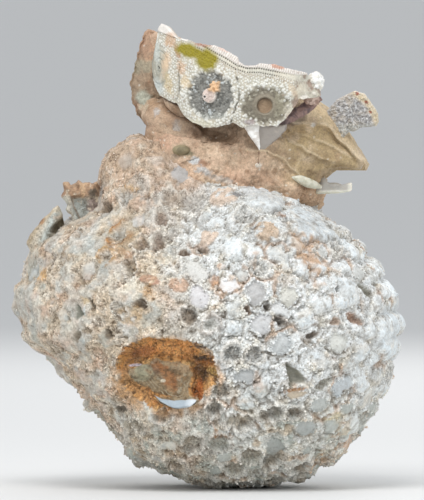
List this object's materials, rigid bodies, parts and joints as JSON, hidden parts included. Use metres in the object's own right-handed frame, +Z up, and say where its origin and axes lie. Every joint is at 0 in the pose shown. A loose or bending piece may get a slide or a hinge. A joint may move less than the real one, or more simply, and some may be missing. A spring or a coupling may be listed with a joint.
{
  "type": "fossil coral",
  "caption": "Silicified round coral head standing on its flat cut base, with tan rock on top holding a piece of sea urchin test and small shell fragments.",
  "frame": {"origin": "middle of the object's outline, on the flat base", "axes": "+Z up, +X to the right and -Y to the front, the side with the urchin test and the rusty pocket"},
  "size_m": [0.1183, 0.0859, 0.1392],
  "materials": {
    "coral_head": "rough, porous silica, cream to bluish white with rust stains",
    "matrix": "tan rock, grainy near the coral, smooth where it is broken",
    "urchin_test": "cream granular shell plates with dark grey rings",
    "shell_wedge": "smooth grey shell with a white rib",
    "side_shell": "sparkling grey crystals with a cream rim",
    "shell_chip": "pale grey, slightly translucent silica",
    "clam_shell": "layered tan shell with a bluish pearly edge",
    "rusty_shell": "rust-brown rim over bluish grey shell",
    "grey_shell": "smooth olive-grey shell"
  },
  "bodies": {
    "root": {"coral_head": "coral_head", "matrix": "matrix", "urchin_test": "urchin_test", "shell_wedge": "shell_wedge", "side_shell": "side_shell", "shell_chip": "shell_chip", "clam_shell": "clam_shell", "rusty_shell": "rusty_shell", "grey_shell": "grey_shell"}
  },
  "joints": []
}
